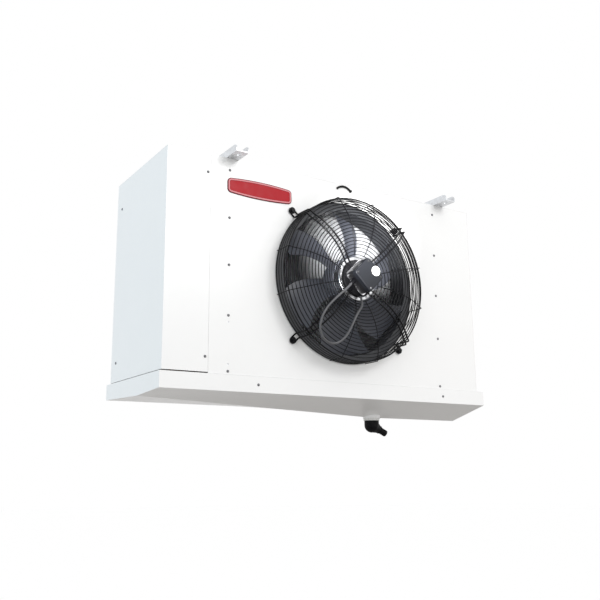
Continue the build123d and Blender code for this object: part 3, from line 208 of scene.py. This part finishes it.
black_plastic = painted("black_plastic", (0.004, 0.004, 0.005), 0.45, mottle=0.15, gloss=0.12)
cable_rubber = painted("cable_rubber", (0.08, 0.08, 0.085), 0.4, grain=1600.0, depth=0.00005, mottle=0.2)
trim_rubber = painted("trim_rubber", (0.006, 0.006, 0.006), 0.5, grain=1600.0, depth=0.00005,
                      mottle=0.2, gloss=0.15)
white_plastic = painted("white_plastic", (0.80, 0.80, 0.78), 0.35, mottle=0.02, coat=0.2)
plaque_red = painted("plaque_red", (0.42, 0.006, 0.014), 0.35, mottle=0.04, gloss=0.15)
plaque_line = painted("plaque_line", (0.68, 0.24, 0.26), 0.35, mottle=0.02, gloss=0.2)
plaque_edge = painted("plaque_edge", (0.14, 0.004, 0.010), 0.4, mottle=0.1, gloss=0.15)
screw_dark = painted("screw_dark", (0.05, 0.05, 0.052), 0.35, mottle=0.1, metal=0.7)

FINISHES = {
    case_paint: ["top_panel", "fan_plate", "left_end_cover", "right_end_cover", "drain_pan"],
    zinc_sheet: ["end_plate_left", "end_plate_right", "coil_rail", "pan_clips", "hinge_knuckles", "pan_ears"],
    zinc_rail: ["hanging_rail_left", "hanging_rail_right"],
    zinc_plate: ["motor_plate"],
    screw_zinc: ["rail_bolts", "panel_screws", "cover_screws", "lip_screws", "lid_screws", "hinge_pins"],
    fin_aluminium: ["coil_fins"],
    rotor_aluminium: ["rotor_can"],
    shaft_steel: ["motor_shaft"],
    copper: ["return_bends_left", "return_bends_right", "suction_header", "liquid_distributor",
             "feeder_tubes"],
    black_ring: ["bellmouth"],
    black_motor: ["motor_stator"],
    blade_paint: ["fan_blades"],
    wire_paint: ["guard_rings", "guard_side_rings", "guard_wires", "guard_arms", "guard_bolts",
                 "clamp_bolts"],
    box_plastic: ["terminal_box"],
    lid_plastic: ["box_lid"],
    cap_plastic: ["lid_cap"],
    black_plastic: ["box_gland", "motor_outlet", "drain_elbow"],
    cable_rubber: ["motor_cable"],
    trim_rubber: ["slot_trim"],
    white_plastic: ["drain_spigot", "drain_nut"],
}


def finish_nodes():
    for material, names in FINISHES.items():
        for name in names:
            for place in nodes[name].material_slots:
                place.material = material


# Building helpers

BEND_STEPS = 5      # of a rounded corner in a wire


def link_mesh(name, shape, material, body, smooth=True):
    """Makes an object of a bmesh, with a material, riding on a CAD body."""
    data = bpy.data.meshes.new(name)
    shape.to_mesh(data)
    shape.free()
    data.materials.append(material)
    for face in data.polygons:
        face.use_smooth = smooth
    piece = bpy.data.objects.new(name, data)
    bpy.context.collection.objects.link(piece)
    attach(piece, body)
    return piece


def wire_curve(name, material, fineness):
    """An empty curve of round wire that rides on the casing. Each point's radius is the wire's radius."""
    data = bpy.data.curves.new(name, "CURVE")
    data.dimensions = "3D"
    data.bevel_depth = 1.0
    data.bevel_resolution = fineness
    data.use_fill_caps = True
    data.materials.append(material)
    piece = bpy.data.objects.new(name, data)
    bpy.context.collection.objects.link(piece)
    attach(piece, "casing")
    return piece, data


def add_line(data, points, radius, closed=False):
    line = data.splines.new("POLY")
    line.points.add(len(points) - 1)
    for place, point in zip(line.points, points):
        place.co = (*point, 1)
        place.radius = radius
    line.use_cyclic_u = closed
    line.use_smooth = True


def at_fan(angle, along, beside, depth):
    """Point in millimetres along and beside a ray from the fan's axis, in front of the fan plate."""
    across = along * cos(angle) - beside * sin(angle)
    up = along * sin(angle) + beside * cos(angle)
    return Vector((FAN_X + across * MM, FRONT - depth * MM, FAN_Z + up * MM))


def rounded(points, reaches):
    """Points of a line with its inner corners rounded; each corner has its own reach."""
    line = [points[0]]
    for before, corner, after, reach in zip(points, points[1:], points[2:], reaches):
        back = (before - corner).normalized() * reach
        on = (after - corner).normalized() * reach
        for i in range(BEND_STEPS + 1):
            share = i / BEND_STEPS
            line.append(corner + back * (1 - share) ** 2 + on * share ** 2)
    line.append(points[-1])
    return line


# Wire guard, round where the solids are square. Millimetres, as in the source of the solids

GUARD_R = 250.0
RIM_DEPTH = 57.0
DISH_DEPTH = 89.0
DISH_R = 152.0
RING_FIRST_R = 72.0
RING_COUNT = 19
SIDE_RINGS = 4
SIDE_STEP = 13.0
WIRE = 2.6
RIM_WIRE = 4.6
ARM_WIRE = 5.0
ARM_SPREAD = 8.0        # of each of an arm's two wires from its middle
FOOT_R = 277.0
FOOT_STEPS = 10
SEAT = 0.2              # clear of the fan plate
WIRE_SEAT = 0.6         # of a single wire above the rings
ARM_SEAT = 1.0          # of an arm above the single wires' seat
TAIL_DEPTH = 65.2       # an arm's inner end, on the motor flange
TAIL_END = 38.0
TAIL_BEND = 55.5
CROSS_CORNER = 5 * MM   # reaches of the wires' corners, in metres
TAIL_CORNER = 5 * MM
RIM_CORNER = 7 * MM
FOOT_CORNER = 5 * MM
WIRE_ANGLES = [15, 75, 105, 165, 195, 255, 285, 345]
ARM_ANGLES = [45, 135, 225, 315]
DISH_FALL = (DISH_DEPTH - RIM_DEPTH) / (GUARD_R - DISH_R) ** 2
RING_STEP = (GUARD_R - RING_FIRST_R) / (RING_COUNT - 1)
SIDE_R = GUARD_R + RIM_WIRE / 2 + WIRE_SEAT
WIRE_SPOTS = 16
SMALL_RING_SPOTS = 64
LARGE_RING_SPOTS = 96


def dish(radius):
    return DISH_DEPTH - DISH_FALL * (radius - DISH_R) ** 2


def add_ring(data, radius, depth, wire):
    count = SMALL_RING_SPOTS if radius < DISH_R else LARGE_RING_SPOTS
    points = [at_fan(2 * pi * i / count, radius, 0, depth) for i in range(count)]
    add_line(data, points, wire / 2 * MM, closed=True)


def over_rings(angle, first_r, beside, lift):
    """Points of a wire's middle that lies across the rings."""
    points = []
    last_r = GUARD_R - RING_STEP
    for i in range(WIRE_SPOTS + 1):
        along = first_r + (last_r - first_r) * i / WIRE_SPOTS
        radius = hypot(along, beside)
        slope = 2 * DISH_FALL * abs(radius - DISH_R)
        depth = dish(radius) + (WIRE / 2 + lift) * sqrt(1 + slope ** 2) + WIRE_SEAT
        points.append(at_fan(angle, along, beside, depth))
    return points


def guard_arm(angle, side):
    """One wire of an arm: from the motor flange over the rings, down the side and out along the foot."""
    beside = side * ARM_SPREAD
    lift = ARM_SEAT + ARM_WIRE / 2
    tail = TAIL_DEPTH + ARM_WIRE / 2
    side_r = SIDE_R + lift
    over = over_rings(angle, RING_FIRST_R - ARM_WIRE / 2, beside, lift)
    inner = rounded([at_fan(angle, TAIL_END, beside, tail), at_fan(angle, TAIL_BEND, beside, tail),
                     over[0]], [TAIL_CORNER])
    outer = rounded([over[-1], at_fan(angle, side_r, beside, RIM_DEPTH + RIM_WIRE + lift),
                     at_fan(angle, side_r, beside, SEAT + ARM_WIRE / 2),
                     at_fan(angle, FOOT_R, beside, SEAT + ARM_WIRE / 2)], [RIM_CORNER, FOOT_CORNER])
    return inner + over[1:-1] + outer


def add_guard():
    rings, data = wire_curve("ring_wires", wire_paint, 1)
    for count in range(RING_COUNT - 1):
        ring_r = RING_FIRST_R + count * RING_STEP
        add_ring(data, ring_r, dish(ring_r), WIRE)
    rim, rim_data = wire_curve("rim_wire", wire_paint, 2)
    add_ring(rim_data, GUARD_R, RIM_DEPTH, RIM_WIRE)
    for piece in (rings, rim):
        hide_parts("guard_rings")

    sides, data = wire_curve("side_wires", wire_paint, 1)
    for count in range(1, SIDE_RINGS + 1):
        add_ring(data, GUARD_R + (RIM_WIRE - WIRE) / 2, RIM_DEPTH - count * SIDE_STEP, WIRE)
    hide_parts("guard_side_rings")

    cross, data = wire_curve("cross_wires", wire_paint, 1)
    for degrees in WIRE_ANGLES:
        angle = radians(degrees)
        lift = WIRE / 2
        over = over_rings(angle, RING_FIRST_R - WIRE / 2, 0, lift)
        corner = at_fan(angle, SIDE_R + lift, 0, RIM_DEPTH + RIM_WIRE + lift)
        outer = rounded([over[-1], corner, at_fan(angle, SIDE_R + lift, 0, SEAT)], [CROSS_CORNER])
        add_line(data, over[:-1] + outer, WIRE / 2 * MM)
    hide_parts("guard_wires")

    arms, data = wire_curve("arm_wires", wire_paint, 2)
    for degrees in ARM_ANGLES:
        angle = radians(degrees)
        turns = [pi * i / FOOT_STEPS for i in range(1, FOOT_STEPS)]
        foot = [at_fan(angle, FOOT_R + ARM_SPREAD * sin(turn), -ARM_SPREAD * cos(turn), SEAT + ARM_WIRE / 2)
                for turn in turns]
        add_line(data, guard_arm(angle, -1) + foot + guard_arm(angle, 1)[::-1], ARM_WIRE / 2 * MM)
    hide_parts("guard_arms")


# Screws, with domed heads and a cross recess. Places and sizes in millimetres

# Rings of the head, as shares of its radius and height, from the middle outwards
SCREW_DOME = [(0.18, 1.0), (0.36, 0.98), (0.52, 0.92), (0.74, 0.74), (0.92, 0.42), (1.0, 0.14), (1.0, 0.0)]
SCREW_SIDES = 24
RECESS_SHARE = 0.45     # the recess's share of the head's height
RECESS_REACH = 0.6      # and of its radius
SHANK_R = 2.0
SHEET_SCREW = (4.0, 2.4, 8.0)   # radius and height of the head, length of the shank
LID_SCREW = (3.4, 1.0, 2.0)
PAN_EDGE_Z = -672.5     # the screws' heights count from here
CASE_Y = -191
PAN_Y = -193
PANEL_SCREW_X = (-403, 366)
PANEL_SCREW_UP = (54, 209, 353, 491, 634)
COVER_FRONT_X = -472
COVER_FRONT_UP = (90, 615)
COVER_SIDE = (-596, 152)
COVER_SIDE_UP = (105, 583)
LIP_SCREW_X = (-308, 375)
LIP_SCREW_UP = 22
LID_ALONG = (-27, 27)   # on the lid's own sides, which stand at 45 degrees
LID_ACROSS = (-31, 31)
LID_DEPTH = 119.5


def add_screw(shape, at, outward, radius, height, shank_r, shank_long):
    """A closed screw: domed head, cross recess and shank."""
    turn = outward.to_track_quat("Z", "Y")

    def ring(reach, lift, recess=0.0):
        line = []
        for i in range(SCREW_SIDES):
            angle = 2 * pi * i / SCREW_SIDES
            drop = recess if i % (SCREW_SIDES // 4) == 0 else 0.0
            spot = Vector((reach * cos(angle), reach * sin(angle), lift - drop))
            line.append(shape.verts.new(at + turn @ spot))
        return line

    rings = [ring(share * radius, lift * height, RECESS_SHARE * height if share < RECESS_REACH else 0.0)
             for share, lift in SCREW_DOME]
    rings += [ring(shank_r, 0.0), ring(shank_r, -shank_long)]
    middle = shape.verts.new(at + turn @ Vector((0, 0, height * (1 - RECESS_SHARE))))
    end = shape.verts.new(at + turn @ Vector((0, 0, -shank_long)))
    for i in range(SCREW_SIDES):
        following = (i + 1) % SCREW_SIDES
        shape.faces.new((middle, rings[0][i], rings[0][following]))
        shape.faces.new((end, rings[-1][following], rings[-1][i]))
        for inner, outer in zip(rings, rings[1:]):
            shape.faces.new((inner[i], outer[i], outer[following], inner[following]))


def replace_screws(node, body, places, size, material):
    radius, height, shank_long = size
    shape = bmesh.new()
    for place, outward in places:
        at = Vector(place) * MM
        add_screw(shape, at, outward, radius * MM, height * MM, SHANK_R * MM, shank_long * MM)
    bmesh.ops.recalc_face_normals(shape, faces=shape.faces)
    piece = link_mesh(node + "_heads", shape, material, body)
    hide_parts(node)
    return piece


def add_screws():
    forward = Vector((0, -1, 0))
    leftward = Vector((-1, 0, 0))
    panel = [((x, CASE_Y, PAN_EDGE_Z + up), forward) for x in PANEL_SCREW_X for up in PANEL_SCREW_UP]
    replace_screws("panel_screws", "casing", panel, SHEET_SCREW, screw_zinc)
    cover = [((COVER_FRONT_X, CASE_Y, PAN_EDGE_Z + up), forward) for up in COVER_FRONT_UP]
    cover += [((*COVER_SIDE, PAN_EDGE_Z + up), leftward) for up in COVER_SIDE_UP]
    replace_screws("cover_screws", "casing", cover, SHEET_SCREW, screw_zinc)
    lip = [((x, PAN_Y, PAN_EDGE_Z + LIP_SCREW_UP), forward) for x in LIP_SCREW_X]
    replace_screws("lip_screws", "pan", lip, SHEET_SCREW, screw_zinc)

    lid = []
    for along in LID_ALONG:
        for across in LID_ACROSS:
            x = FAN_X / MM + (along + across) / sqrt(2)
            z = FAN_Z / MM + (along - across) / sqrt(2)
            lid.append(((x, FRONT / MM - LID_DEPTH, z), forward))
    piece = replace_screws("lid_screws", "casing", lid, LID_SCREW, screw_dark)
    # The second of the four is bright
    piece.data.materials.append(screw_zinc)
    count = len(piece.data.polygons) // len(lid)
    for face in piece.data.polygons[count:2 * count]:
        face.material_index = 1


# Blank plaque at the panel's upper left

PLAQUE_X = -303.5
PLAQUE_Z = -83.5
PLAQUE_HALF = 107.5
PLAQUE_END = 21.0       # half its height at the ends
PLAQUE_MID = 27.0       # and in the middle
PLAQUE_CORNER = 13.0
PLAQUE_CORNER_LEAST = 3.0
PLAQUE_STEPS = 24
CORNER_STEPS = 12
RED, LINE, EDGE = 0, 1, 2
# From the back to the face: inset, height above the fan plate and paint
PLAQUE_LAYERS = [(0.0, 0.1, EDGE), (0.0, 1.8, EDGE), (1.0, 2.6, EDGE), (2.4, 2.8, EDGE), (6.6, 2.8, LINE),
                 (7.4, 2.3, EDGE), (8.0, 2.3, RED), (12.0, 2.4, RED)]


def plaque_edge_line(inset):
    """Outline with arched long sides and rounded corners, drawn in by an inset; millimetres."""
    half = PLAQUE_HALF - inset
    corner = max(PLAQUE_CORNER - inset, PLAQUE_CORNER_LEAST)
    line = []
    for side in (1, -1):
        for i in range(PLAQUE_STEPS + 1):
            x = (half - corner) * (1 - 2 * i / PLAQUE_STEPS)
            arch = PLAQUE_MID - (PLAQUE_MID - PLAQUE_END) * (x / PLAQUE_HALF) ** 2 - inset
            line.append((side * x, side * arch))
        low = PLAQUE_MID - (PLAQUE_MID - PLAQUE_END) * ((half - corner) / PLAQUE_HALF) ** 2 - inset
        for i in range(1, CORNER_STEPS):
            angle = pi / 2 + pi * i / CORNER_STEPS
            reach = max(low - corner, 0)
            x = -(half - corner) + corner * cos(angle)
            z = (reach if sin(angle) > 0 else -reach) + corner * sin(angle)
            line.append((side * x, side * z))
    return line


def add_plaque():
    """Edge, pale line and red field, as rings of one closed shape."""
    shape = bmesh.new()
    rings = []
    for inset, depth, _ in PLAQUE_LAYERS:
        rings.append([shape.verts.new(((PLAQUE_X + x) * MM, FRONT - depth * MM, (PLAQUE_Z + z) * MM))
                      for x, z in plaque_edge_line(inset)])
    count = len(rings[0])
    for inner, outer, (_, _, paint) in zip(rings, rings[1:], PLAQUE_LAYERS[1:]):
        for i in range(count):
            following = (i + 1) % count
            face = shape.faces.new((inner[i], inner[following], outer[following], outer[i]))
            face.material_index = paint
    shape.faces.new(rings[-1])
    back = shape.faces.new(rings[0][::-1])
    back.material_index = EDGE
    bmesh.ops.recalc_face_normals(shape, faces=shape.faces)
    plaque = link_mesh("plaque", shape, plaque_red, "casing", smooth=False)
    plaque.data.materials.append(plaque_line)
    plaque.data.materials.append(plaque_edge)


# Motor cable: the CAD route's points, from the box's gland to the outlet on the motor flange

CABLE_R = 3.5 * MM
CABLE_SPOTS = [(-62, 95, -42), (-104, 103, -73), (-152, 105, -118), (-172, 104, -166), (-158, 97, -200),
               (-117, 93, -216), (-82, 98, -198), (-58, 104, -158), (-39, 104, -120), (-3, 90, -85)]
GLAND_MOUTH = Vector((-47.3, 91.5, -27.5))
OUTLET_MOUTH = Vector((0, 71.5, -58.7))


def add_cable():
    piece, data = wire_curve("cable_loop", cable_rubber, 4)
    spots = [GLAND_MOUTH] + [Vector(spot) for spot in CABLE_SPOTS] + [OUTLET_MOUTH]
    line = data.splines.new("NURBS")
    line.points.add(len(spots) - 1)
    for place, spot in zip(line.points, spots):
        place.co = (FAN_X + spot.x * MM, FRONT - spot.y * MM, FAN_Z + spot.z * MM, 1)
        place.radius = CABLE_R
    line.order_u = 3
    line.use_endpoint_u = True
    line.resolution_u = 12
    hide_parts("motor_cable")


# Floor and light

FLOOR_Z = -3.0
FLOOR_R = 60.0
FLOOR_SIDES = 64
# Dark grey near the middle: painted shade, a soft shadow under the object that also darkens its underside
PAPER_NEAR_SHADE = (0.36, 0.345, 0.33)
PAPER_FAR = (1.0, 1.0, 1.0)
PAPER_REACH = 20.0      # the paper's colour changes between two shares of this distance
PAPER_START = 0.2
PAPER_END = 0.6
PAPER_ROUGH = 0.95
PAPER_GLOSS = 0.1
AIR_LIGHT = 1.0
WHITE_LIGHT = (1, 1, 1)
# Name, place, aim, size, power and colour
AREA_LIGHTS = [
    ("key_light", (0.6, -3.0, 1.0), (0, 0, -0.35), (1.3, 1.0), 34, WHITE_LIGHT),
    ("side_light", (-3.4, -0.3, 0.1), (-0.5, 0, -0.35), (1.6, 1.6), 13, (0.12, 0.65, 1.0)),
]
FAN_LIGHT_AIM = (FAN_X + 0.05, FRONT, FAN_Z + 0.12)
FAN_LIGHT_REACH = 0.14
FAN_LIGHT_POWER = 2000
FAN_LIGHT_SIZE = 0.08
FAN_LIGHT_BLEND = 0.8


def add_studio():
    """Floor below the hung object, with painted shade: dark grey near it, pale and lighter towards the
    horizon.
    """
    shape = bmesh.new()
    bmesh.ops.create_circle(shape, cap_ends=True, radius=FLOOR_R, segments=FLOOR_SIDES,
                            matrix=Matrix.Translation((0, 0, FLOOR_Z)))
    data = bpy.data.meshes.new("studio_floor")
    shape.to_mesh(data)
    shape.free()
    material, tree, shader = new_material("studio_paper")
    place = tree.nodes.new("ShaderNodeTexCoord")
    flat = tree.nodes.new("ShaderNodeVectorMath")
    flat.operation = "MULTIPLY"
    flat.inputs[1].default_value = (1 / PAPER_REACH, 1 / PAPER_REACH, 0)
    away = tree.nodes.new("ShaderNodeVectorMath")
    away.operation = "LENGTH"
    tree.links.new(place.outputs["Object"], flat.inputs[0])
    tree.links.new(flat.outputs["Vector"], away.inputs[0])
    # The ramp runs from the painted shade under the object to white far out
    tree.links.new(ramp(tree, away.outputs["Value"], PAPER_NEAR_SHADE, PAPER_FAR, PAPER_START, PAPER_END),
                   shader.inputs["Base Color"])
    shader.inputs["Roughness"].default_value = PAPER_ROUGH
    shader.inputs["Specular IOR Level"].default_value = PAPER_GLOSS
    data.materials.append(material)
    floor = bpy.data.objects.new("studio_floor", data)
    bpy.context.collection.objects.link(floor)


def hang_light(name, data, at, away):
    lamp = bpy.data.objects.new(name, data)
    lamp.location = at
    lamp.rotation_euler = away.to_track_quat("-Z", "Y").to_euler()
    bpy.context.collection.objects.link(lamp)


def add_area(name, at, towards, size, power, colour):
    data = bpy.data.lights.new(name, "AREA")
    data.shape = "RECTANGLE"
    data.size, data.size_y = size
    data.energy = power
    data.color = colour
    hang_light(name, data, at, Vector(towards) - Vector(at))


def add_fan_light():
    """Round soft light from the camera onto the upper part of the fan."""
    away = Vector(FAN_LIGHT_AIM) - CAMERA_AT
    data = bpy.data.lights.new("fan_light", "SPOT")
    data.energy = FAN_LIGHT_POWER
    data.shadow_soft_size = FAN_LIGHT_SIZE
    data.spot_size = 2 * atan(FAN_LIGHT_REACH / away.length)
    data.spot_blend = FAN_LIGHT_BLEND
    hang_light("fan_light", data, CAMERA_AT, away)


def add_lights():
    world = bpy.data.worlds.new("studio_air")
    world.use_nodes = True
    air = world.node_tree.nodes["Background"]
    air.inputs["Color"].default_value = (*WHITE_LIGHT, 1)
    air.inputs["Strength"].default_value = AIR_LIGHT
    bpy.context.scene.world = world
    for light in AREA_LIGHTS:
        add_area(*light)
    add_fan_light()


add_camera()
finish_nodes()
add_cable()
add_guard()
add_plaque()
add_screws()
add_studio()
add_lights()
bpy.context.scene.view_settings.view_transform = "Standard"
